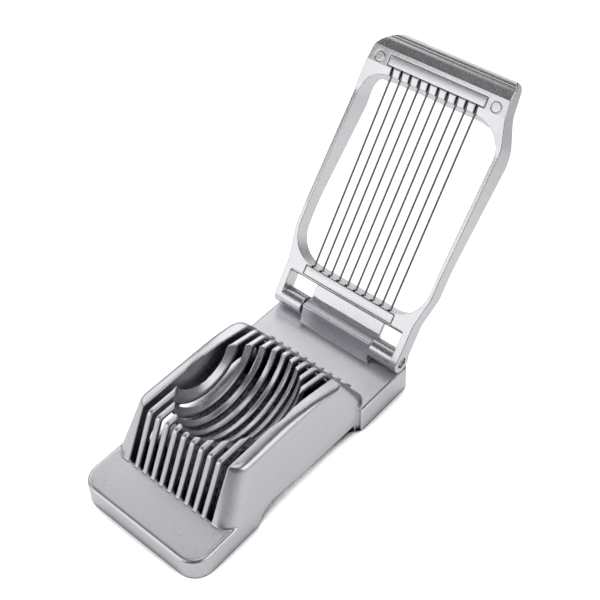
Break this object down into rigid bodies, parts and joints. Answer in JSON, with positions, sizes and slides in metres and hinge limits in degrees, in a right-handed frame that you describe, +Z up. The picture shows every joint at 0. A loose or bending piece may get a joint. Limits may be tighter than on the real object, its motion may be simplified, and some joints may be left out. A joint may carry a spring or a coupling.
{
  "type": "egg slicer",
  "caption": "Hinged egg slicer: a slotted cast base with an egg-shaped hollow, and a tilting frame strung with parallel cutting wires.",
  "frame": {"origin": "on the worktop, under the middle of the slicer's overall length and width as it stands open", "axes": "+Z up, +Y from the flange towards the hinge, +X to the right seen from the flange; the slots and wires run in planes parallel to Y and Z"},
  "size_m": [0.079, 0.2144, 0.1271],
  "materials": {
    "base_cast": "satin die-cast",
    "frame_cast": "satin die-cast",
    "clamp_strip": "fine matt, milled",
    "wire_steel": "drawn wire",
    "pin_steel": "turned"
  },
  "bodies": {
    "base": {"base_casting": "base_cast", "hinge_pin": "pin_steel"},
    "frame": {"frame_casting": "frame_cast", "clamp_strip_grip": "clamp_strip", "clamp_strip_hinge": "clamp_strip", "wire_1": "wire_steel", "wire_2": "wire_steel", "wire_3": "wire_steel", "wire_4": "wire_steel", "wire_5": "wire_steel", "wire_6": "wire_steel", "wire_7": "wire_steel", "wire_8": "wire_steel", "wire_9": "wire_steel", "wire_10": "wire_steel"}
  },
  "joints": [
    {"name": "frame_hinge", "type": "hinge", "parent": "base", "child": "frame", "pos_m": [0, 0.02637, 0.02], "axis": [1, 0, 0], "range_deg": [0, 127.6]}
  ]
}
